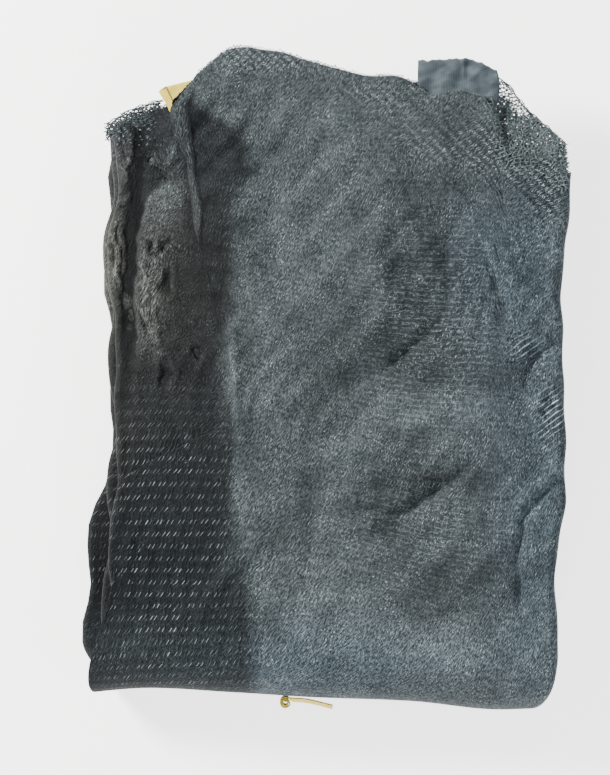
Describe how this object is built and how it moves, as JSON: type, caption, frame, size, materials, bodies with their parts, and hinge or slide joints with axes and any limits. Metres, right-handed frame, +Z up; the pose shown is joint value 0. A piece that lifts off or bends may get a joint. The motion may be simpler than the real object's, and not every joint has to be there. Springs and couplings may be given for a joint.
{
  "type": "folded trampoline safety net",
  "caption": "Knitted trampoline safety net folded back and forth and then in half, with a woven heading band and yellow webbing ends at its edges.",
  "frame": {"origin": "bottom centre of the folded bundle's box, on the surface it lies on", "axes": "+X across the bundle towards the folds at its right, +Y along it from the smooth bend to the open ends, +Z up"},
  "size_m": [0.3587, 0.4944, 0.0749],
  "materials": {
    "knitted_net": "knitted polyethylene net, charcoal, soft sheen on its strands",
    "woven_band": "dense plain weave, dark blue grey, matt",
    "yellow_webbing": "flat woven webbing, pale yellow, matt"
  },
  "bodies": {
    "root": {"net": "knitted_net", "heading_band": "woven_band", "webbing_end": "yellow_webbing", "webbing_curl": "yellow_webbing"}
  },
  "joints": []
}
